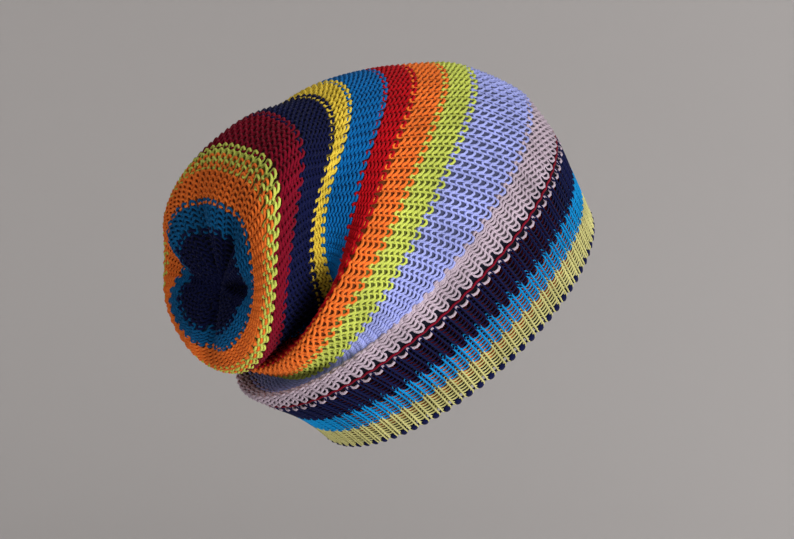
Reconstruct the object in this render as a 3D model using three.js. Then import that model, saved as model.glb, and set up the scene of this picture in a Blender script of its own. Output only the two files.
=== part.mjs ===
// A slouchy knitted beanie, in the form in which it is worn: +X is its front, +Y its left side, +Z
// up, millimetres. The origin is the middle of its opening, which is tilted up at the front.
//
// The hat is one knitted tube. Its rows, called courses, are counted from the rim, 0, to the
// gathered tip, 106. A section is the tube's outline at one course. Round a section, turn runs
// once from the top, 0, over the right side, 0.25, to the underside, 0.5, and the left, 0.75.
import * as THREE from "three";

// Thickness of the knitted wall, and how the turned band shares its two layers.
const CROWN_OUT = 1.3;
const CROWN_IN = 1.3;
const RIB_OUT = 1.4;
const RIB_IN = 0.9;
const GAP = 0.3;
const FACING_IN = 2.6;

// Courses where the pieces start and end.
const RIM = 0;
const FACING_START = 0.6;
const WELT = 22;
const LAST_ROW = 105;
const TIP = 106;
const ROW_GAP = 0.16;

// Facets: how many steps go round a section, and the courses that carry a ring of vertices.
const STEPS_ROUND = 60;
const RIB_RINGS = 5;
const FACING_RINGS = 4;
const CROWN_STRETCHES = [
  { from: WELT + ROW_GAP, to: 26, rings: 2 },
  { from: 26, to: 32, rings: 6 },
  { from: 32, to: 38, rings: 3 },
  { from: 38, to: 74, rings: 14 },
  { from: 74, to: 86, rings: 5 },
  { from: 86, to: LAST_ROW, rings: 7 },
];

// One line for each section that shapes the tube. top and low are its highest and lowest point in
// the middle plane, half its half width, belly how far its two flanks sit forward of the line from
// top to low, yaw how far the section turns towards the right side.
const SECTIONS = [
  { course: 0, topX: 71, topZ: 60, lowX: -74, lowZ: -60, half: 73, belly: 0, yaw: 0 },
  { course: 8, topX: 64, topZ: 73, lowX: -85, lowZ: -51, half: 74, belly: 0, yaw: 0 },
  { course: 14, topX: 58, topZ: 84, lowX: -96, lowZ: -44, half: 75, belly: 0, yaw: 0 },
  { course: 22, topX: 48, topZ: 102, lowX: -113, lowZ: -36, half: 76, belly: 0, yaw: 0 },
  { course: 27, topX: 38, topZ: 114, lowX: -122.5, lowZ: -30.5, half: 76, belly: 0, yaw: 0 },
  { course: 31, topX: 28, topZ: 123, lowX: -112.5, lowZ: -29, half: 76, belly: -4, yaw: 0 },
  { course: 38, topX: -1, topZ: 134, lowX: -103, lowZ: -23, half: 75, belly: -16, yaw: 0 },
  { course: 43, topX: -17, topZ: 135, lowX: -112, lowZ: -19, half: 74, belly: -17.5, yaw: 0 },
  { course: 48, topX: -35, topZ: 134, lowX: -127, lowZ: -15, half: 72, belly: -13, yaw: 0 },
  { course: 54, topX: -52, topZ: 132, lowX: -126, lowZ: -11, half: 68, belly: -10, yaw: 0 },
  { course: 62, topX: -74, topZ: 127, lowX: -128, lowZ: -5, half: 64, belly: -8, yaw: 0 },
  { course: 66, topX: -86, topZ: 122, lowX: -131, lowZ: -4, half: 61, belly: -6, yaw: 0.01 },
  { course: 74, topX: -113, topZ: 112, lowX: -135, lowZ: -8, half: 58, belly: -5.5, yaw: 0.03 },
  { course: 80, topX: -131, topZ: 99, lowX: -137, lowZ: -15, half: 56, belly: -5, yaw: 0.08 },
  { course: 85, topX: -141, topZ: 87, lowX: -142, lowZ: -14, half: 51, belly: -3, yaw: 0.11 },
  { course: 91, topX: -147, topZ: 71, lowX: -146, lowZ: -5, half: 42, belly: 0, yaw: 0.13 },
  { course: 96, topX: -147, topZ: 57, lowX: -147, lowZ: 3, half: 31, belly: 0, yaw: 0.13 },
  { course: TIP, topX: -138, topZ: 27, lowX: -138, lowZ: 27, half: 0, belly: 0, yaw: 0.13 },
];

// One line for each fold. It draws the cloth in towards the middle of its section by depth, out
// where depth is negative, and forward by lean. It is centred on one turn and course, and fades
// over spread turns and reach courses. slant and bend move its course as it goes round.
const FOLDS = [
  // the slot under the hanging end, where the slouch bends over
  { turn: 0.5, course: 61.5, slant: 0, bend: -60, spread: 0.12, reach: 8, depth: 21, lean: 6 },
  // the lobe of the crown's front half hangs out on both flanks, before the valleys
  { turn: 0.34, course: 45.5, slant: 0, bend: 0, spread: 0.08, reach: 4.5, depth: -9, lean: -8 },
  { turn: 0.64, course: 45, slant: 0, bend: 0, spread: 0.1, reach: 6, depth: -8, lean: -5 },
  // the deep valley on the right flank, and its shallow upper end
  { turn: 0.395, course: 61.5, slant: 15, bend: 0, spread: 0.085, reach: 9, depth: 6, lean: 29 },
  { turn: 0.22, course: 64, slant: 0, bend: 0, spread: 0.1, reach: 9, depth: 11, lean: 0 },
  { turn: 0.16, course: 52, slant: 0, bend: 0, spread: 0.09, reach: 13, depth: 4, lean: -5 },
  // the hanging end's right flank, drawn towards the valley
  { turn: 0.42, course: 73, slant: 0, bend: 0, spread: 0.08, reach: 7, depth: -4, lean: 4 },
  // the valley on the left flank
  { turn: 0.61, course: 60.5, slant: -15, bend: 0, spread: 0.08, reach: 8.5, depth: 6, lean: 24 },
  // a dent on top, and the shoulder of the hanging end
  { turn: 0, course: 68, slant: 0, bend: 0, spread: 0.08, reach: 4, depth: 3, lean: 0 },
  { turn: 0.13, course: 80, slant: 0, bend: 0, spread: 0.06, reach: 11, depth: -12, lean: 0 },
  // pleats that run into the gathered tip
  { turn: 0.75, course: 93, slant: 0, bend: 0, spread: 0.05, reach: 8, depth: 8, lean: 8 },
  { turn: 0.97, course: 97, slant: 0, bend: 0, spread: 0.035, reach: 7, depth: 2, lean: 6 },
  { turn: 0.1, course: 98, slant: 0, bend: 0, spread: 0.035, reach: 6, depth: 3, lean: 8 },
  { turn: 0.26, course: 99, slant: 0, bend: 0, spread: 0.04, reach: 5, depth: 3, lean: 10 },
  { turn: 0.5, course: 98, slant: 0, bend: 0, spread: 0.035, reach: 7, depth: 3, lean: 8 },
];

// Slope of one named size at a section, from the sections before and after it.
function slopeAt(index, name) {
  const before = SECTIONS[Math.max(index - 1, 0)];
  const after = SECTIONS[Math.min(index + 1, SECTIONS.length - 1)];
  return (after[name] - before[name]) / (after.course - before.course);
}

// One named size at any course, on a smooth curve through every section.
function sizeAt(course, name) {
  let index = 0;
  while (index < SECTIONS.length - 2 && course >= SECTIONS[index + 1].course) {
    index += 1;
  }
  const here = SECTIONS[index];
  const next = SECTIONS[index + 1];
  const span = next.course - here.course;
  const t = (course - here.course) / span;
  const startShare = 2 * t ** 3 - 3 * t ** 2 + 1;
  const startPull = t ** 3 - 2 * t ** 2 + t;
  const endPull = t ** 3 - t ** 2;
  return here[name] * startShare + next[name] * (1 - startShare)
    + span * (slopeAt(index, name) * startPull + slopeAt(index + 1, name) * endPull);
}

// How much of a fold reaches a place on the tube, from 0 to 1.
function foldShare(fold, turn, course) {
  const away = THREE.MathUtils.euclideanModulo(turn - fold.turn + 0.5, 1) - 0.5;
  const ridge = fold.course + fold.slant * away + fold.bend * away ** 2;
  return Math.exp(-((away / fold.spread) ** 2) - ((course - ridge) / fold.reach) ** 2);
}

// The middle of the knitted wall at one place.
function cloth(turn, course) {
  const upShare = Math.cos(2 * Math.PI * turn);
  const sideShare = Math.sin(2 * Math.PI * turn);
  const midX = (sizeAt(course, "topX") + sizeAt(course, "lowX")) / 2;
  const midZ = (sizeAt(course, "topZ") + sizeAt(course, "lowZ")) / 2;
  const upX = (sizeAt(course, "topX") - sizeAt(course, "lowX")) / 2;
  const upZ = (sizeAt(course, "topZ") - sizeAt(course, "lowZ")) / 2;
  const half = sizeAt(course, "half");
  const radius = Math.hypot(upX * upShare, upZ * upShare, half * sideShare);
  let depth = 0;
  let lean = 0;
  for (const fold of FOLDS) {
    const share = foldShare(fold, turn, course);
    depth += fold.depth * share;
    lean += fold.lean * share;
  }
  const keep = radius > 0 ? 1 - depth / radius : 1;
  const y = -half * sideShare * keep;
  const flank = sizeAt(course, "belly") * sideShare ** 2 - sizeAt(course, "yaw") * y;
  return new THREE.Vector3(midX + upX * upShare * keep + lean + flank, y, midZ + upZ * upShare * keep);
}

// The direction out of the cloth at one place, from its neighbours round and along the tube.
function outward(turn, course) {
  const TURN_STEP = 0.004;
  const COURSE_STEP = 0.3;
  const round = cloth(turn + TURN_STEP, course).sub(cloth(turn - TURN_STEP, course));
  const along = cloth(turn, Math.min(course + COURSE_STEP, TIP)).sub(cloth(turn, course - COURSE_STEP));
  return round.cross(along).normalize().negate();
}

// Vertices of one layer of the wall: rings at the given courses, lifted out of the cloth.
function layer(courses, lift) {
  const points = [];
  for (const course of courses) {
    for (let step = 0; step < STEPS_ROUND; step += 1) {
      const turn = step / STEPS_ROUND;
      points.push(cloth(turn, course).addScaledVector(outward(turn, course), lift));
    }
  }
  return points;
}

// Courses spread evenly over a stretch, with the last one left to the next stretch.
function evenCourses(from, to, rings) {
  return Array.from({ length: rings }, (_, ring) => from + ((to - from) * ring) / rings);
}

// Joins two neighbouring rings by two triangles a step. Turning the order over faces them back.
function bridge(triangles, first, second, turnedOver) {
  for (let step = 0; step < STEPS_ROUND; step += 1) {
    const next = (step + 1) % STEPS_ROUND;
    const [a, b, c, d] = [first + step, first + next, second + next, second + step];
    triangles.push(...(turnedOver ? [a, b, c, a, c, d] : [a, c, b, a, d, c]));
  }
}

// Closes the last ring to one point.
function closeTip(triangles, ring, point, turnedOver) {
  for (let step = 0; step < STEPS_ROUND; step += 1) {
    const next = (step + 1) % STEPS_ROUND;
    triangles.push(...(turnedOver ? [ring + step, ring + next, point] : [ring + step, point, ring + next]));
  }
}

// A knitted wall between two lifts. It is open at its first course, where a flat rim joins its two
// layers, and at its last course too, unless it is gathered to a tip.
function wall(courses, outLift, inLift, gathered) {
  const outer = layer(courses, outLift);
  const inner = layer(courses, inLift);
  const points = [...outer, ...inner];
  const triangles = [];
  const last = (courses.length - 1) * STEPS_ROUND;
  for (let ring = 0; ring < last; ring += STEPS_ROUND) {
    bridge(triangles, ring, ring + STEPS_ROUND, false);
    bridge(triangles, outer.length + ring, outer.length + ring + STEPS_ROUND, true);
  }
  bridge(triangles, 0, outer.length, true);
  if (gathered) {
    const tip = cloth(0, TIP);
    points.push(tip.clone().add(new THREE.Vector3(-outLift, 0, 0)));
    points.push(tip.clone().add(new THREE.Vector3(-inLift, 0, 0)));
    closeTip(triangles, last, points.length - 2, false);
    closeTip(triangles, outer.length + last, points.length - 1, true);
  } else {
    bridge(triangles, last, outer.length + last, false);
  }
  const geometry = new THREE.BufferGeometry();
  geometry.setAttribute("position", new THREE.Float32BufferAttribute(points.flatMap((p) => p.toArray()), 3));
  geometry.setIndex(triangles);
  geometry.computeVertexNormals();
  return geometry;
}

function piece(name, geometry, colour) {
  const mesh = new THREE.Mesh(geometry, new THREE.MeshStandardMaterial({
    color: colour,
    roughness: 0.9,
    metalness: 0,
  }));
  mesh.name = name;
  return mesh;
}

// The slouchy body, from the welt to the gathered tip.
function crown() {
  const courses = CROWN_STRETCHES.flatMap(({ from, to, rings }) => evenCourses(from, to, rings));
  return piece("crown", wall([...courses, LAST_ROW], CROWN_OUT, -CROWN_IN, true), "#9ba6e0");
}

// The outer layer of the turned band, ribs out.
function ribBrim() {
  const courses = [...evenCourses(RIM, WELT, RIB_RINGS), WELT];
  return piece("rib_brim", wall(courses, RIB_OUT, -RIB_IN, false), "#101a3c");
}

// The inner layer of the turned band.
function brimFacing() {
  const courses = [...evenCourses(FACING_START, WELT, FACING_RINGS), WELT];
  return piece("brim_facing", wall(courses, -RIB_IN - GAP, -FACING_IN, false), "#7a0e22");
}

const beanie = new THREE.Group();
beanie.add(crown(), ribBrim(), brimFacing());

export default beanie;
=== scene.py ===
"""A slouchy beanie, knitted in stripes, held up in the form in which it is worn.

The cloth is one tube. Its rows, called courses, are counted from the rim, 0, to the gathered tip,
106, and turn runs once round it from the top, over its right side. Every yarn is laid on the cloth
by one Geometry Nodes tree, and the wall behind the yarns is a thin shell, darkened with painted shade.
"""
import math
from collections import namedtuple

import bpy
import numpy as np
from mathutils import Matrix, Vector


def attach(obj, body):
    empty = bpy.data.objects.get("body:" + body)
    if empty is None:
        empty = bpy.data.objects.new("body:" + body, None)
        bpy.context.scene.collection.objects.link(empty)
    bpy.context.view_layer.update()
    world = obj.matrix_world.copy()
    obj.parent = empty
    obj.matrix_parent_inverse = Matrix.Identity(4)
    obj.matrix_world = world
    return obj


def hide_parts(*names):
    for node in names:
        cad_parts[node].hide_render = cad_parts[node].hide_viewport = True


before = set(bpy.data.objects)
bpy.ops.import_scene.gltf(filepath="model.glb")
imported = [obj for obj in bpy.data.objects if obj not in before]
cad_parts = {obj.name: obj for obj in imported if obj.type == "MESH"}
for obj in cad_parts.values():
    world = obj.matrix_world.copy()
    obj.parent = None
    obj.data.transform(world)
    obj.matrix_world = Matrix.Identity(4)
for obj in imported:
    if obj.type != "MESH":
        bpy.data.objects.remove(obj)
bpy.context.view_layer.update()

MM = 0.001
FULL_TURN = 2 * math.pi

Section = namedtuple("Section", "course top_x top_z low_x low_z half belly yaw")
Fold = namedtuple("Fold", "turn course slant bend spread reach depth lean")
Stripe = namedtuple("Stripe", "piece yarn course wales")
Light = namedtuple("Light", "name right up near width power aim")

# The tube's sections, in millimetres: highest and lowest point in its middle plane, half width, how
# far the flanks sit forward of the line between the two, and the turn towards the right side.
SECTIONS = (
    Section(0, 71, 60, -74, -60, 73, 0, 0),
    Section(8, 64, 73, -85, -51, 74, 0, 0),
    Section(14, 58, 84, -96, -44, 75, 0, 0),
    Section(22, 48, 102, -113, -36, 76, 0, 0),
    Section(27, 38, 114, -122.5, -30.5, 76, 0, 0),
    Section(31, 28, 123, -112.5, -29, 76, -4, 0),
    Section(38, -1, 134, -103, -23, 75, -16, 0),
    Section(43, -17, 135, -112, -19, 74, -17.5, 0),
    Section(48, -35, 134, -127, -15, 72, -13, 0),
    Section(54, -52, 132, -126, -11, 68, -10, 0),
    Section(62, -74, 127, -128, -5, 64, -8, 0),
    Section(66, -86, 122, -131, -4, 61, -6, 0.01),
    Section(74, -113, 112, -135, -8, 58, -5.5, 0.03),
    Section(80, -131, 99, -137, -15, 56, -5, 0.08),
    Section(85, -141, 87, -142, -14, 51, -3, 0.11),
    Section(91, -147, 71, -146, -5, 42, 0, 0.13),
    Section(96, -147, 57, -147, 3, 31, 0, 0.13),
    Section(106, -138, 27, -138, 27, 0, 0, 0.13),
)

# The folds: where each one lies, how its course moves as it goes round, how far it spreads in turns
# and reaches in courses, and how deep it draws the cloth in and how far it leans forward.
FOLDS = (
    Fold(0.50, 61.5, 0, -60, 0.12, 8.0, 21, 6),
    Fold(0.34, 45.5, 0, 0, 0.08, 4.5, -9, -8),
    Fold(0.64, 45.0, 0, 0, 0.10, 6.0, -8, -5),
    Fold(0.395, 61.5, 15, 0, 0.085, 9.0, 6, 29),
    Fold(0.22, 64.0, 0, 0, 0.10, 9.0, 11, 0),
    Fold(0.16, 52.0, 0, 0, 0.09, 13.0, 4, -5),
    Fold(0.42, 73.0, 0, 0, 0.08, 7.0, -4, 4),
    Fold(0.61, 60.5, -15, 0, 0.08, 8.5, 6, 24),
    Fold(0.00, 68.0, 0, 0, 0.08, 4.0, 3, 0),
    Fold(0.13, 80.0, 0, 0, 0.06, 11.0, -12, 0),
    Fold(0.75, 93.0, 0, 0, 0.05, 8.0, 8, 8),
    Fold(0.97, 97.0, 0, 0, 0.035, 7.0, 2, 6),
    Fold(0.10, 98.0, 0, 0, 0.035, 6.0, 3, 8),
    Fold(0.26, 99.0, 0, 0, 0.04, 5.0, 3, 10),
    Fold(0.50, 98.0, 0, 0, 0.035, 7.0, 3, 8),
)

# Courses where the knitting changes, and the last one with a direction out, just before the tip.
WELT = 21
LAST_ROW = 105
LAST_OUTWARD = 105.5
TIP = 106

# Small steps over which the direction out of the cloth is taken, and floors for what is divided by.
TURN_STEP = 0.003
COURSE_STEP = 0.3
LEAST_RADIUS = 1e-6
LEAST_LENGTH = 1e-12

# The grid of cloth that the yarns are laid on. Its map runs over turn and course.
GRID_TURNS = 328
GRID_ROWS = 216
GRID_FIRST = -2.0
GRID_LAST = 106.0
MAP_END = 0.9999

# Yarn colours as they look in soft light, from 0 to 1, before they are made linear.
YARNS = {
    "olive": (0.76, 0.74, 0.48),
    "bright_blue": (0.0, 0.53, 0.78),
    "navy": (0.02, 0.05, 0.23),
    "maroon": (0.48, 0.0, 0.12),
    "mauve": (0.73, 0.66, 0.71),
    "periwinkle": (0.63, 0.66, 0.90),
    "lime": (0.78, 0.82, 0.36),
    "orange": (0.95, 0.47, 0.17),
    "red": (0.72, 0.0, 0.07),
    "blue": (0.0, 0.41, 0.68),
    "yellow": (0.90, 0.78, 0.26),
    "teal": (0.0, 0.34, 0.54),
    "dark_navy": (0.02, 0.05, 0.22),
    "deep_maroon": (0.32, 0.0, 0.07),
}

# Stripes of each part, each up to the next one's first course, and the stitches round the tube.
WALES = 82
CROWN_STRIPES = (
    Stripe("mauve_stripe", "mauve", 23, WALES),
    Stripe("periwinkle_stripe", "periwinkle", 30, WALES),
    Stripe("lime_stripe", "lime", 38, WALES),
    Stripe("orange_stripe", "orange", 43, WALES),
    Stripe("red_stripe", "red", 48, 80),
    Stripe("blue_stripe", "blue", 54, 76),
    Stripe("yellow_stripe", "yellow", 62, 72),
    Stripe("navy_stripe", "navy", 66, 68),
    Stripe("maroon_stripe", "maroon", 74, 62),
    Stripe("second_lime_stripe", "lime", 81, 58),
    Stripe("orange_dashes", "orange", 83, 58),
    Stripe("lime_edge", "lime", 84, 58),
    Stripe("second_orange_stripe", "orange", 85, 54),
    Stripe("teal_stripe", "teal", 91, 44),
    Stripe("tip_stripe", "dark_navy", 96, 32),
    Stripe("gathered_tip", "dark_navy", 101, 18),
)
RIB_STRIPES = (
    Stripe("olive_rib", "olive", 0, WALES),
    Stripe("bright_blue_rib", "bright_blue", 8, WALES),
    Stripe("navy_rib", "navy", 14, WALES),
)
FACING_STRIPES = (
    Stripe("facing_navy", "navy", 0, WALES),
    Stripe("facing_orange", "orange", 4, WALES),
    Stripe("facing_maroon", "deep_maroon", 12, WALES),
)

# How far into its first course each kind of knitting starts.
PURL_START = 0.7
RIB_START = 0.5
FACING_START = 0.8

# One stitch of each kind of knitting. Sway and Lead, in stitches, shape the loop. Rise is its half
# height in courses. Depth, Tilt, Lift and Yarn radius are millimetres out of the cloth, and Swell
# fattens the yarn between two loops.
PURL = {
    "Points": 10, "Sides": 5, "Sway": 0.085, "Lead": 0.06, "Rise": 0.86,
    "Depth": 0.6, "Tilt": 0.2, "Lift": 0.1, "Yarn radius": 0.75, "Swell": 0.0,
}
RIB = {
    "Points": 10, "Sides": 5, "Sway": 0.11, "Lead": 0.1, "Rise": 1.5,
    "Depth": -0.6, "Tilt": 0.1, "Lift": 0.35, "Yarn radius": 0.48, "Swell": 0.0,
}
FACING = {
    "Points": 6, "Sides": 4, "Sway": 0.08, "Lead": 0.05, "Rise": 1.0,
    "Depth": 0.25, "Tilt": 0.0, "Lift": -1.5, "Yarn radius": 0.6, "Swell": 0.0,
}

# Single rows of the band: where each one lies and how its stitches differ from the rib's.
TRIM_ROWS = (
    ("rim_row", "navy", -0.2, {
        "Sway": 0.0, "Lead": 0.0, "Rise": 0.1,
        "Depth": 0.0, "Tilt": 0.0, "Lift": -0.1, "Yarn radius": 1.25, "Swell": 0.5,
    }),
    ("welt_dashes", "mauve", 21.1, {
        "Sway": 0.05, "Lead": 0.09, "Rise": 0.4,
        "Depth": 0.4, "Tilt": 0.7, "Lift": 0.1, "Yarn radius": 0.75,
    }),
    ("welt_thread", "maroon", 22.3, {
        "Sway": 0.0, "Lead": 0.0, "Rise": 0.1,
        "Depth": 0.0, "Tilt": 0.0, "Lift": 0.6, "Yarn radius": 0.6,
    }),
)

# The thin walls behind the yarns: their two skins in millimetres out from the middle of the cloth,
# the courses that carry a ring, and how much painted shade darkens them below the yarns' colours.
WALL_STEPS = 132
CROWN_WALL = (0.0, -0.35)
CROWN_WALL_COURSES = (*np.arange(20.8, 98, 1.6), 98.6, 100, 101.2, 102.4, 103.4, 104.3, 105, 105.5)
FACING_WALL = (-1.9, -2.3)
FACING_WALL_COURSES = np.linspace(0.6, 21, 10)
BACKING_PAINTED_SHADE = 0.85

# The finish of the yarns, and of the walls behind them, with the painted shade in the ply creases.
PALE_SHARE = 1.15
DEEP_SHARE = 0.72
# Painted shade in the ply creases: how dark it is, and how strongly it is mixed in.
PAINTED_CREASE_SHADE = 0.45
PAINTED_CREASE_REACH = 0.35
YARN_ROUGHNESS = (0.72, 0.95)
YARN_SHINE = 0.12
SHEEN = 0.03
SHEEN_ROUGHNESS = 0.5
PLY_BUMP = (0.35, 0.00025)
FIBRE_SCALE = 2600
FIBRE_DETAIL = 2
FIBRE_SHARE = 0.6
DYE_DETAIL = 3
NOISE_LOW = 0.25
NOISE_HIGH = 0.75
BACKING_ROUGHNESS = 0.9
BACKING_SHINE = 0.2
LOOP_BUMP = (0.5, 0.0005)
LOOP_SLANT = 0.5
STRAND_SHARE = 0.12

# The studio: a pale bowl in metres, so that no view meets an edge.
FLOOR_DROP = 0.62
BOWL_MIDDLE = 0.02
BOWL_RADIUS = 1.7
BOWL_CURVE = 1.0
BOWL_HEIGHT = 2.4
BOWL_STEPS = 72
BOWL_FLAT_RINGS = 6
BOWL_CURVE_RINGS = 12
STUDIO_COLOUR = (0.79, 0.775, 0.77)
STUDIO_ROUGHNESS = 0.9

# The camera looks at the front right side. Degrees, metres, and the lens in millimetres.
AZIMUTH = -30.0
ELEVATION = 8.0
DISTANCE = 1.010
SHIFT_RIGHT = -0.0323
SHIFT_UP = 0.02505
LENS = 85.0
SENSOR = 36.0
CLIP_NEAR = 0.05
CLIP_FAR = 20.0

# Each light: metres right, up and towards the camera from the hat, width, power in watts, and the
# spot that it points at, in the same three directions.
HAT_MIDDLE = (-0.04, 0.0, 0.045)
LIGHTS = (
    Light("key_light", 1.0, 0.45, 1.1, 0.9, 20, (0, 0, 0)),
    Light("fill_light", -1.1, 0.3, 1.1, 1.4, 4, (0, 0, 0)),
    Light("back_light", 0.7, 1.2, -0.8, 1.2, 4, (0, 0, 0)),
    Light("bounce_light", 0.35, -0.5, 0.7, 0.6, 3.5, (0, 0, 0)),
    Light("ground_light", 1.5, 0.9, -0.4, 0.7, 15, (2.0, 0.0, -2.2)),
)
WORLD_COLOUR = (1.0, 0.985, 0.96)
WORLD_STRENGTH = 0.31


def size_at(name, course):
    """One column of the sections at any course, on a smooth curve through every line."""
    knots = np.array([section.course for section in SECTIONS], dtype=float)
    values = np.array([getattr(section, name) for section in SECTIONS], dtype=float)
    last = len(knots) - 1
    before = np.maximum(np.arange(len(knots)) - 1, 0)
    after = np.minimum(np.arange(len(knots)) + 1, last)
    slope = (values[after] - values[before]) / (knots[after] - knots[before])
    here = np.clip(np.searchsorted(knots, course, side="right") - 1, 0, last - 1)
    span = knots[here + 1] - knots[here]
    t = (course - knots[here]) / span
    start_share = 2 * t**3 - 3 * t**2 + 1
    start_pull = t**3 - 2 * t**2 + t
    end_pull = t**3 - t**2
    return (values[here] * start_share + values[here + 1] * (1 - start_share)
            + span * (slope[here] * start_pull + slope[here + 1] * end_pull))


def cloth_at(turn, course):
    """Points in the middle of the cloth, in metres."""
    up_share = np.cos(FULL_TURN * turn)
    side_share = np.sin(FULL_TURN * turn)
    size = {name: size_at(name, course) for name in Section._fields[1:]}
    mid_x = (size["top_x"] + size["low_x"]) / 2
    mid_z = (size["top_z"] + size["low_z"]) / 2
    up_x = (size["top_x"] - size["low_x"]) / 2
    up_z = (size["top_z"] - size["low_z"]) / 2
    radius = np.sqrt((up_x * up_share) ** 2 + (up_z * up_share) ** 2 + (size["half"] * side_share) ** 2)
    draw = np.zeros_like(radius)
    lean = np.zeros_like(radius)
    for fold in FOLDS:
        away = (turn - fold.turn + 0.5) % 1.0 - 0.5
        ridge = fold.course + fold.slant * away + fold.bend * away**2
        share = np.exp(-((away / fold.spread) ** 2) - ((course - ridge) / fold.reach) ** 2)
        draw += fold.depth * share
        lean += fold.lean * share
    keep = 1 - draw / np.maximum(radius, LEAST_RADIUS)
    y = -size["half"] * side_share * keep
    x = mid_x + up_x * up_share * keep + lean + size["belly"] * side_share**2 - size["yaw"] * y
    z = mid_z + up_z * up_share * keep
    return np.stack([x, y, z], axis=-1) * MM


def outward_at(turn, course):
    """The direction out of the cloth."""
    course = np.minimum(course, LAST_OUTWARD)
    round_way = cloth_at(turn + TURN_STEP, course) - cloth_at(turn - TURN_STEP, course)
    far = np.minimum(course + COURSE_STEP, TIP)
    along_way = cloth_at(turn, far) - cloth_at(turn, course - COURSE_STEP)
    out = -np.cross(round_way, along_way)
    return out / np.maximum(np.linalg.norm(out, axis=-1, keepdims=True), LEAST_LENGTH)


def linear(colour):
    """A colour as it looks, made linear for the shader."""
    return tuple(value / 12.92 if value <= 0.04045 else ((value + 0.055) / 1.055) ** 2.4 for value in colour)


def put_in_scene(name, content):
    """A new object in the scene, at the origin."""
    piece = bpy.data.objects.new(name, content)
    bpy.context.scene.collection.objects.link(piece)
    return piece


def lay_cloth():
    """A fine grid of the cloth, with its map and its outward directions as attributes."""
    turns = np.linspace(0, 1, GRID_TURNS + 1)
    courses = np.linspace(GRID_FIRST, GRID_LAST, GRID_ROWS + 1)
    turn, course = np.meshgrid(turns, courses)
    points = cloth_at(turn, course).reshape(-1, 3)
    out = outward_at(turn, course).reshape(-1, 3)
    wide = len(turns)
    row, step = np.meshgrid(np.arange(GRID_ROWS), np.arange(GRID_TURNS), indexing="ij")
    first = (row * wide + step).reshape(-1)
    faces = np.stack([first, first + wide, first + wide + 1, first + 1], axis=1)
    mesh = bpy.data.meshes.new("cloth_grid")
    mesh.from_pydata(points.tolist(), [], faces.tolist())
    share = (course - GRID_FIRST) / (GRID_LAST - GRID_FIRST)
    places = np.stack([turn.reshape(-1), share.reshape(-1)], axis=1)[faces.reshape(-1)]
    knit = mesh.attributes.new("knit", "FLOAT2", "CORNER")
    knit.data.foreach_set("vector", places.astype(np.float32).reshape(-1))
    outward = mesh.attributes.new("outward", "FLOAT_VECTOR", "POINT")
    outward.data.foreach_set("vector", out.astype(np.float32).reshape(-1))
    return mesh


class Sums:
    """Short forms for the nodes of one Geometry Nodes or shader tree."""

    def __init__(self, tree):
        self.tree = tree

    def node(self, kind, **settings):
        node = self.tree.nodes.new(kind)
        for name, value in settings.items():
            setattr(node, name, value)
        return node

    def link(self, source, target):
        if hasattr(source, "is_output"):
            self.tree.links.new(source, target)
        else:
            target.default_value = source

    def put(self, operation, first, second=None):
        node = self.node("ShaderNodeMath", operation=operation)
        self.link(first, node.inputs[0])
        if second is not None:
            self.link(second, node.inputs[1])
        return node.outputs[0]


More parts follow.
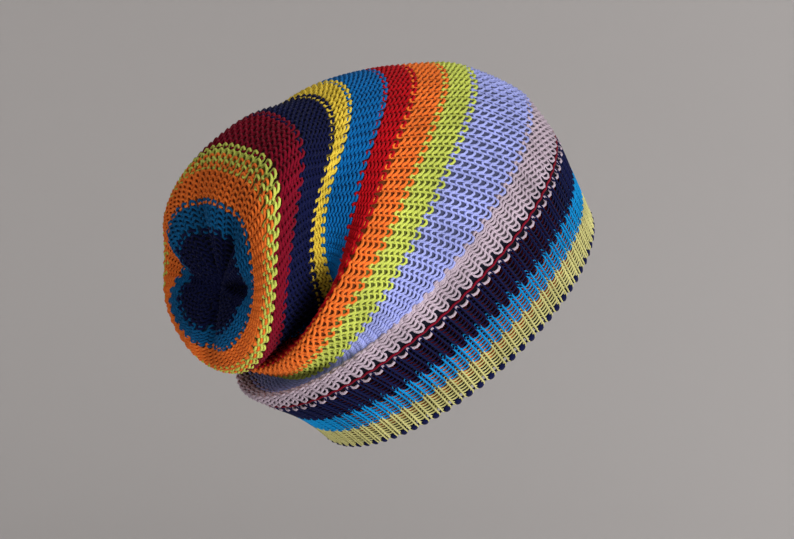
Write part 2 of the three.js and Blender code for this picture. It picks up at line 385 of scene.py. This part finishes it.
def knitting_tree():
    """Lays rows of stitches on a cloth: one closed yarn a row, swept with a round section."""
    tree = bpy.data.node_groups.new("knitted rows", "GeometryNodeTree")
    new_socket = tree.interface.new_socket
    new_socket(name="Cloth", in_out="INPUT", socket_type="NodeSocketGeometry")
    new_socket(name="First course", in_out="INPUT", socket_type="NodeSocketFloat")
    for name in ("Rows", "Wales", "Points", "Sides"):
        new_socket(name=name, in_out="INPUT", socket_type="NodeSocketInt")
    for name in ("Row step", "Sway", "Lead", "Rise", "Depth", "Tilt", "Lift", "Yarn radius", "Swell"):
        new_socket(name=name, in_out="INPUT", socket_type="NodeSocketFloat")
    new_socket(name="Yarn", in_out="INPUT", socket_type="NodeSocketMaterial")
    new_socket(name="Rows of yarn", in_out="OUTPUT", socket_type="NodeSocketGeometry")
    sums = Sums(tree)
    put = sums.put
    given = sums.node("NodeGroupInput").outputs

    # Rows: one closed curve for each, with the same number of points in every stitch.
    stitches = put("MULTIPLY", given["Wales"], given["Points"])
    ring = sums.node("GeometryNodeCurvePrimitiveCircle")
    sums.link(stitches, ring.inputs["Resolution"])
    rows = sums.node("GeometryNodeDuplicateElements", domain="SPLINE")
    sums.link(ring.outputs["Curve"], rows.inputs["Geometry"])
    sums.link(given["Rows"], rows.inputs["Amount"])
    row = rows.outputs["Duplicate Index"]

    # The angle runs once through every stitch: 0 at the head of a loop, half a turn between loops.
    index = sums.node("GeometryNodeInputIndex").outputs[0]
    step = put("FLOORED_MODULO", index, stitches)
    stitch = put("DIVIDE", step, given["Points"])
    angle = put("MULTIPLY", stitch, FULL_TURN)
    cos_one = put("COSINE", angle)
    sin_one = put("SINE", angle)
    sin_two = put("SINE", put("MULTIPLY", angle, 2.0))
    cos_two = put("COSINE", put("MULTIPLY", angle, 2.0))

    # The path of the yarn over turn and course, and how far it lies out of the cloth.
    sway = put("MULTIPLY", sin_two, given["Sway"])
    lead = put("MULTIPLY", sin_one, put("MULTIPLY", given["Lead"], -1.0))
    wale = put("ADD", stitch, put("ADD", sway, lead))
    turn = put("FRACT", put("ADD", put("DIVIDE", wale, given["Wales"]), 0.5))
    start = put("ADD", given["First course"], put("MULTIPLY", row, given["Row step"]))
    course = put("ADD", start, put("MULTIPLY", cos_one, given["Rise"]))
    share = put("DIVIDE", put("SUBTRACT", course, GRID_FIRST), GRID_LAST - GRID_FIRST)
    tilt = put("MULTIPLY", cos_one, given["Tilt"])
    height = put("SUBTRACT", put("MULTIPLY", cos_two, given["Depth"]), tilt)
    lift = put("MULTIPLY", put("ADD", height, given["Lift"]), MM)
    place = sums.node("ShaderNodeCombineXYZ")
    sums.link(turn, place.inputs["X"])
    sums.link(put("MINIMUM", share, MAP_END), place.inputs["Y"])
    knit = sums.node("GeometryNodeInputNamedAttribute", data_type="FLOAT_VECTOR")
    knit.inputs["Name"].default_value = "knit"
    outward = sums.node("GeometryNodeInputNamedAttribute", data_type="FLOAT_VECTOR")
    outward.inputs["Name"].default_value = "outward"

    def on_cloth(value):
        sample = sums.node("GeometryNodeSampleUVSurface", data_type="FLOAT_VECTOR")
        sums.link(given["Cloth"], sample.inputs["Mesh"])
        sums.link(value, sample.inputs["Value"])
        sums.link(knit.outputs["Attribute"], sample.inputs["UV Map"])
        sums.link(place.outputs[0], sample.inputs["Sample UV"])
        return sample.outputs["Value"]

    spot = on_cloth(sums.node("GeometryNodeInputPosition").outputs[0])
    raised = sums.node("ShaderNodeVectorMath", operation="SCALE")
    sums.link(on_cloth(outward.outputs["Attribute"]), raised.inputs[0])
    sums.link(lift, raised.inputs["Scale"])
    lifted = sums.node("ShaderNodeVectorMath", operation="ADD")
    sums.link(spot, lifted.inputs[0])
    sums.link(raised.outputs[0], lifted.inputs[1])
    laid = sums.node("GeometryNodeSetPosition")
    sums.link(rows.outputs["Geometry"], laid.inputs["Geometry"])
    sums.link(lifted.outputs[0], laid.inputs["Position"])

    # Marks along and round the yarn, for its plies.
    marked = sums.node("GeometryNodeStoreNamedAttribute", data_type="FLOAT", domain="POINT")
    marked.inputs["Name"].default_value = "along"
    sums.link(laid.outputs[0], marked.inputs["Geometry"])
    sums.link(stitch, marked.inputs["Value"])
    section = sums.node("GeometryNodeCurvePrimitiveCircle")
    sums.link(given["Sides"], section.inputs["Resolution"])
    section.inputs["Radius"].default_value = 1.0
    plied = sums.node("GeometryNodeStoreNamedAttribute", data_type="FLOAT_VECTOR", domain="POINT")
    plied.inputs["Name"].default_value = "ply"
    sums.link(section.outputs["Curve"], plied.inputs["Geometry"])
    sums.link(sums.node("GeometryNodeInputPosition").outputs[0], plied.inputs["Value"])

    # The yarn's own thickness goes in as the scale of the swept section.
    fat = put("ADD", 1.0, put("MULTIPLY", put("SUBTRACT", 0.0, cos_one), given["Swell"]))
    radius = put("MULTIPLY", put("MULTIPLY", fat, given["Yarn radius"]), MM)
    swept = sums.node("GeometryNodeCurveToMesh")
    sums.link(marked.outputs[0], swept.inputs["Curve"])
    sums.link(plied.outputs[0], swept.inputs["Profile Curve"])
    sums.link(radius, swept.inputs["Scale"])
    smooth = sums.node("GeometryNodeSetShadeSmooth")
    sums.link(swept.outputs[0], smooth.inputs["Geometry"])
    real = sums.node("GeometryNodeRealizeInstances")
    sums.link(smooth.outputs[0], real.inputs[0])
    coloured = sums.node("GeometryNodeSetMaterial")
    sums.link(real.outputs[0], coloured.inputs["Geometry"])
    sums.link(given["Yarn"], coloured.inputs["Material"])
    sums.link(coloured.outputs[0], sums.node("NodeGroupOutput").inputs[0])
    return tree


def plain_mesh(piece, name):
    """The evaluated piece as a plain mesh, with its modifiers removed."""
    ready = bpy.data.meshes.new_from_object(piece.evaluated_get(bpy.context.evaluated_depsgraph_get()))
    piece.modifiers.clear()
    piece.data = ready
    ready.name = name
    return piece


def knit_rows(name, cloth, tree, stitch, first, rows, wales, material):
    """One piece of knitted rows on the cloth."""
    piece = put_in_scene(name, cloth)
    modifier = piece.modifiers.new("knitting", "NODES")
    modifier.node_group = tree
    values = {"First course": float(first), "Rows": rows, "Wales": wales, "Row step": 1.0, "Yarn": material}
    values.update(stitch)
    for item in tree.interface.items_tree:
        if item.in_out == "INPUT" and item.name in values:
            modifier[item.identifier] = values[item.name]
    bpy.context.view_layer.update()
    return plain_mesh(piece, name)


def effect_group(name, inputs, outputs):
    """An empty shader node group with named inputs and outputs, all of them numbers."""
    tree = bpy.data.node_groups.new(name, "ShaderNodeTree")
    new_socket = tree.interface.new_socket
    for label, value in inputs:
        new_socket(name=label, in_out="INPUT", socket_type="NodeSocketFloat").default_value = value
    for label in outputs:
        new_socket(name=label, in_out="OUTPUT", socket_type="NodeSocketFloat")
    return tree


def yarn_effect():
    """Twisted plies, fibre noise and uneven dye, as a height and three masks, one of them for the painted
    shade in the ply creases.
    """
    inputs = (("Plies", 3.0), ("Twists a stitch", 3.0), ("Dye scale", 60.0))
    tree = effect_group("twisted yarn", inputs, ("Height", "Ply crease shade", "Dye", "Fibre"))
    sums = Sums(tree)
    put = sums.put
    given = sums.node("NodeGroupInput").outputs
    along = sums.node("ShaderNodeAttribute", attribute_name="along").outputs["Fac"]
    ply = sums.node("ShaderNodeSeparateXYZ")
    sums.link(sums.node("ShaderNodeAttribute", attribute_name="ply").outputs["Vector"], ply.inputs[0])
    around = put("ARCTAN2", ply.outputs["Y"], ply.outputs["X"])
    twist = put("MULTIPLY", put("MULTIPLY", along, given["Twists a stitch"]), FULL_TURN)
    phase = put("ADD", put("MULTIPLY", around, given["Plies"]), twist)
    crest = put("ABSOLUTE", put("COSINE", put("MULTIPLY", phase, 0.5)))
    spots = sums.node("ShaderNodeTexCoord").outputs["Object"]
    fibre = sums.node("ShaderNodeTexNoise")
    fibre.inputs["Scale"].default_value = FIBRE_SCALE
    fibre.inputs["Detail"].default_value = FIBRE_DETAIL
    sums.link(spots, fibre.inputs["Vector"])
    dye = sums.node("ShaderNodeTexNoise")
    dye.inputs["Detail"].default_value = DYE_DETAIL
    sums.link(given["Dye scale"], dye.inputs["Scale"])
    sums.link(spots, dye.inputs["Vector"])
    result = sums.node("NodeGroupOutput")
    sums.link(put("ADD", crest, put("MULTIPLY", fibre.outputs["Fac"], FIBRE_SHARE)), result.inputs["Height"])
    # The mask for the painted shade is strongest where the plies' crests are lowest.
    sums.link(put("SUBTRACT", 1.0, crest), result.inputs["Ply crease shade"])
    sums.link(dye.outputs["Fac"], result.inputs["Dye"])
    sums.link(fibre.outputs["Fac"], result.inputs["Fibre"])
    return tree


def loop_effect():
    """The backs of the loops as a height over wales and courses."""
    tree = effect_group("backs of the loops", (("Strands", 3.0),), ("Height",))
    sums = Sums(tree)
    put = sums.put
    given = sums.node("NodeGroupInput").outputs
    place = sums.node("ShaderNodeSeparateXYZ")
    sums.link(sums.node("ShaderNodeUVMap", uv_map="knit").outputs["UV"], place.inputs[0])
    wave = put("COSINE", put("MULTIPLY", place.outputs["X"], FULL_TURN))
    slanted = put("ADD", place.outputs["Y"], put("MULTIPLY", put("ABSOLUTE", wave), LOOP_SLANT))
    rows = put("ABSOLUTE", put("SINE", put("MULTIPLY", slanted, math.pi)))
    strands = put("SINE", put("MULTIPLY", put("MULTIPLY", slanted, given["Strands"]), FULL_TURN))
    result = sums.node("NodeGroupOutput")
    sums.link(put("ADD", rows, put("MULTIPLY", strands, STRAND_SHARE)), result.inputs["Height"])
    return tree


def mixed(sums, share, first, second):
    """A colour between two others."""
    mix = sums.node("ShaderNodeMix", data_type="RGBA", blend_type="MIX")
    sums.link(share, mix.inputs[0])
    for target, colour in ((mix.inputs[6], first), (mix.inputs[7], second)):
        sums.link(colour if hasattr(colour, "is_output") else (*colour, 1.0), target)
    return mix.outputs[2]


def ranged(sums, value, low, high):
    """A noise value, which mostly lies between NOISE_LOW and NOISE_HIGH, spread over a range."""
    node = sums.node("ShaderNodeMapRange")
    sums.link(value, node.inputs["Value"])
    node.inputs["From Min"].default_value = NOISE_LOW
    node.inputs["From Max"].default_value = NOISE_HIGH
    node.inputs["To Min"].default_value = low
    node.inputs["To Max"].default_value = high
    return node.outputs[0]


def bumped(sums, shader, height, bump):
    """Raises the surface by a height, with a strength and a distance in metres."""
    node = sums.node("ShaderNodeBump")
    node.inputs["Strength"].default_value = bump[0]
    node.inputs["Distance"].default_value = bump[1]
    sums.link(height, node.inputs["Height"])
    sums.link(node.outputs["Normal"], shader.inputs["Normal"])


def new_material(name):
    """A material with its shader, and the short forms for its nodes."""
    material = bpy.data.materials.new(name)
    material.use_nodes = True
    return material, material.node_tree.nodes["Principled BSDF"], Sums(material.node_tree)


def yarn_material(name, colour, effect):
    """Matte cotton yarn: its colour a little uneven, with painted shade in the creases between its plies."""
    material, shader, sums = new_material(name)
    yarn = sums.node("ShaderNodeGroup", node_tree=effect)
    base = linear(colour)
    pale = tuple(min(1.0, PALE_SHARE * value) for value in base)
    deep = tuple(DEEP_SHARE * value for value in base)
    crease_shade = tuple(PAINTED_CREASE_SHADE * value for value in base)
    dyed = mixed(sums, ranged(sums, yarn.outputs["Dye"], 0.0, 1.0), deep, pale)
    # Painted shade: the colour mixed towards a darker copy of itself in the creases between the plies.
    crease = sums.put("MULTIPLY", yarn.outputs["Ply crease shade"], PAINTED_CREASE_REACH)
    sums.link(mixed(sums, crease, dyed, crease_shade), shader.inputs["Base Color"])
    sums.link(ranged(sums, yarn.outputs["Fibre"], *YARN_ROUGHNESS), shader.inputs["Roughness"])
    shader.inputs["Specular IOR Level"].default_value = YARN_SHINE
    shader.inputs["Sheen Weight"].default_value = SHEEN
    shader.inputs["Sheen Roughness"].default_value = SHEEN_ROUGHNESS
    bumped(sums, shader, yarn.outputs["Height"], PLY_BUMP)
    return material


def backing_material(name, stripes, effect):
    """The inside of the loops, in the stripes' colours, darkened with painted shade below the yarns over it.
    """
    material, shader, sums = new_material(name)
    place = sums.node("ShaderNodeSeparateXYZ")
    sums.link(sums.node("ShaderNodeUVMap", uv_map="knit").outputs["UV"], place.inputs[0])
    ramp = sums.node("ShaderNodeValToRGB")
    ramp.color_ramp.interpolation = "CONSTANT"
    sums.link(sums.put("DIVIDE", place.outputs["Y"], float(TIP)), ramp.inputs["Fac"])
    stops = ramp.color_ramp.elements
    while len(stops) < len(stripes):
        stops.new(0.5)
    for stop, (yarn, course) in zip(stops, stripes):
        stop.position = course / TIP
        stop.color = (*linear(YARNS[yarn]), 1.0)
    # Painted shade: the stripe colours mixed mostly towards black, for the shade in the gaps between the
    # loops.
    dark = mixed(sums, BACKING_PAINTED_SHADE, ramp.outputs["Color"], (0.0, 0.0, 0.0))
    sums.link(dark, shader.inputs["Base Color"])
    shader.inputs["Roughness"].default_value = BACKING_ROUGHNESS
    shader.inputs["Specular IOR Level"].default_value = BACKING_SHINE
    loops = sums.node("ShaderNodeGroup", node_tree=effect)
    bumped(sums, shader, loops.outputs["Height"], LOOP_BUMP)
    return material


def closed_wall(name, courses, lifts, closed_tip):
    """A thin closed wall that follows the cloth between two courses, or up to the tip."""
    turns = np.arange(WALL_STEPS) / WALL_STEPS
    turn, course = np.meshgrid(turns, courses)
    middle = cloth_at(turn, course)
    out = outward_at(turn, course)
    skins = [(middle + out * lift * MM).reshape(-1, 3) for lift in lifts]
    count = len(skins[0])
    points = [*skins[0].tolist(), *skins[1].tolist()]
    faces = []
    wales = []
    last = (len(courses) - 1) * WALL_STEPS
    for step in range(WALL_STEPS):
        after = (step + 1) % WALL_STEPS
        here = WALES * step / WALL_STEPS
        there = WALES * (step + 1) / WALL_STEPS
        for start in range(0, last, WALL_STEPS):
            a = start + step
            b = start + after
            c = b + WALL_STEPS
            d = a + WALL_STEPS
            faces.append((a, d, c, b))
            wales.append((here, here, there, there))
            faces.append((count + a, count + b, count + c, count + d))
            wales.append((here, there, there, here))
        faces.append((step, after, count + after, count + step))
        wales.append((here, there, there, here))
        if closed_tip:
            faces.append((last + step, 2 * count, last + after))
            wales.append((here, here, there))
            faces.append((count + last + after, 2 * count + 1, count + last + step))
            wales.append((there, here, here))
        else:
            faces.append((last + step, count + last + step, count + last + after, last + after))
            wales.append((here, here, there, there))
    rows = np.concatenate([course.reshape(-1), course.reshape(-1), [TIP, TIP]])
    if closed_tip:
        tip = cloth_at(np.array([0.0]), np.array([float(TIP)]))[0]
        points.extend((tip - np.array([lift * MM, 0, 0])).tolist() for lift in lifts)
    mesh = bpy.data.meshes.new(name)
    mesh.from_pydata(points, [], faces)
    mesh.shade_smooth()
    places = [(wale, rows[corner]) for face, line in zip(faces, wales) for corner, wale in zip(face, line)]
    knit = mesh.uv_layers.new(name="knit")
    knit.data.foreach_set("uv", np.array(places, dtype=np.float32).reshape(-1))
    return put_in_scene(name, mesh)


def hat_on(piece, node):
    """Hands a finished piece to the frame: its node of the hat."""
    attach(piece, "root")
    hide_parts(node)


def knit_the_hat():
    """Every piece of the hat: the stripes of its three parts, its trim rows and its thin walls."""
    cloth = lay_cloth()
    tree = knitting_tree()
    twist = yarn_effect()
    loops = loop_effect()
    yarns = {name: yarn_material(name + "_yarn", colour, twist) for name, colour in YARNS.items()}

    def knit_stripes(stripes, stitch, start, end, node):
        ends = [stripe.course for stripe in stripes[1:]] + [end]
        for stripe, next_course in zip(stripes, ends):
            rows = next_course - stripe.course
            first = stripe.course + start
            yarn = yarns[stripe.yarn]
            hat_on(knit_rows(stripe.piece, cloth, tree, stitch, first, rows, stripe.wales, yarn), node)

    knit_stripes(CROWN_STRIPES, PURL, PURL_START, LAST_ROW, "crown")
    knit_stripes(RIB_STRIPES, RIB, RIB_START, WELT, "rib_brim")
    for name, yarn, course, look in TRIM_ROWS:
        stitch = dict(RIB, **look)
        hat_on(knit_rows(name, cloth, tree, stitch, course, 1, WALES, yarns[yarn]), "rib_brim")
    knit_stripes(FACING_STRIPES, FACING, FACING_START, WELT, "brim_facing")

    crown_wall = closed_wall("crown_backing", CROWN_WALL_COURSES, CROWN_WALL, True)
    crown_colours = [("navy", 0)] + [(stripe.yarn, stripe.course + PURL_START) for stripe in CROWN_STRIPES]
    crown_wall.data.materials.append(backing_material("crown_backs_painted_shade", crown_colours, loops))
    hat_on(crown_wall, "crown")
    facing_wall = closed_wall("facing_backing", FACING_WALL_COURSES, FACING_WALL, False)
    facing_colours = [(stripe.yarn, stripe.course) for stripe in FACING_STRIPES]
    facing_wall.data.materials.append(backing_material("facing_backs_painted_shade", facing_colours, loops))
    hat_on(facing_wall, "brim_facing")
    bpy.data.meshes.remove(cloth)


def studio_floor():
    """A round floor that curves up into a wall."""
    profile = []
    for ring in range(BOWL_FLAT_RINGS + 1):
        profile.append((BOWL_MIDDLE + (BOWL_RADIUS - BOWL_MIDDLE) * ring / BOWL_FLAT_RINGS, 0.0))
    for ring in range(1, BOWL_CURVE_RINGS + 1):
        angle = math.pi / 2 * ring / BOWL_CURVE_RINGS
        profile.append((BOWL_RADIUS + BOWL_CURVE * math.sin(angle), BOWL_CURVE * (1 - math.cos(angle))))
    profile.append((BOWL_RADIUS + BOWL_CURVE, BOWL_HEIGHT))
    points = [(0.0, 0.0, -FLOOR_DROP)]
    faces = []
    for radius, height in profile:
        for step in range(BOWL_STEPS):
            angle = FULL_TURN * step / BOWL_STEPS
            points.append((radius * math.cos(angle), radius * math.sin(angle), height - FLOOR_DROP))
    for step in range(BOWL_STEPS):
        after = (step + 1) % BOWL_STEPS
        faces.append((0, 1 + step, 1 + after))
        for ring in range(len(profile) - 1):
            low = 1 + ring * BOWL_STEPS
            high = low + BOWL_STEPS
            faces.append((low + step, high + step, high + after, low + after))
    mesh = bpy.data.meshes.new("studio_floor")
    mesh.from_pydata(points, [], faces)
    mesh.shade_smooth()
    material, shader, _ = new_material("studio_paint")
    shader.inputs["Base Color"].default_value = (*linear(STUDIO_COLOUR), 1.0)
    shader.inputs["Roughness"].default_value = STUDIO_ROUGHNESS
    mesh.materials.append(material)
    put_in_scene("studio_floor", mesh)


def camera_axes():
    """The directions to the right, up and back of the camera."""
    azimuth = math.radians(AZIMUTH)
    elevation = math.radians(ELEVATION)
    level = math.cos(elevation)
    back = Vector((math.sin(azimuth) * level, -math.cos(azimuth) * level, math.sin(elevation)))
    right = Vector((math.cos(azimuth), math.sin(azimuth), 0.0))
    return right, back.cross(right), back


def set_camera():
    right, up, back = camera_axes()
    camera = bpy.data.cameras.new("camera")
    camera.lens = LENS
    camera.sensor_width = SENSOR
    camera.clip_start = CLIP_NEAR
    camera.clip_end = CLIP_FAR
    piece = put_in_scene("camera", camera)
    spot = DISTANCE * back + SHIFT_RIGHT * right + SHIFT_UP * up
    piece.matrix_world = Matrix.Translation(spot) @ Matrix((right, up, back)).transposed().to_4x4()
    bpy.context.scene.camera = piece


def set_lights():
    right, _, back = camera_axes()
    axes = Matrix((right, Vector((0, 0, 1)), back)).transposed()
    for line in LIGHTS:
        light = bpy.data.lights.new(line.name, "AREA")
        light.shape = "DISK"
        light.size = line.width
        light.energy = line.power
        piece = put_in_scene(line.name, light)
        spot = axes @ Vector((line.right, line.up, line.near))
        away = spot - axes @ Vector(line.aim)
        turned = away.to_track_quat("Z", "Y").to_matrix().to_4x4()
        piece.matrix_world = Matrix.Translation(Vector(HAT_MIDDLE) + spot) @ turned
        piece.visible_camera = False
    world = bpy.data.worlds.new("studio_air")
    world.use_nodes = True
    air = world.node_tree.nodes["Background"]
    air.inputs["Color"].default_value = (*WORLD_COLOUR, 1.0)
    air.inputs["Strength"].default_value = WORLD_STRENGTH
    bpy.context.scene.world = world


knit_the_hat()
studio_floor()
set_camera()
set_lights()
bpy.context.scene.view_settings.view_transform = "Standard"
bpy.context.view_layer.update()
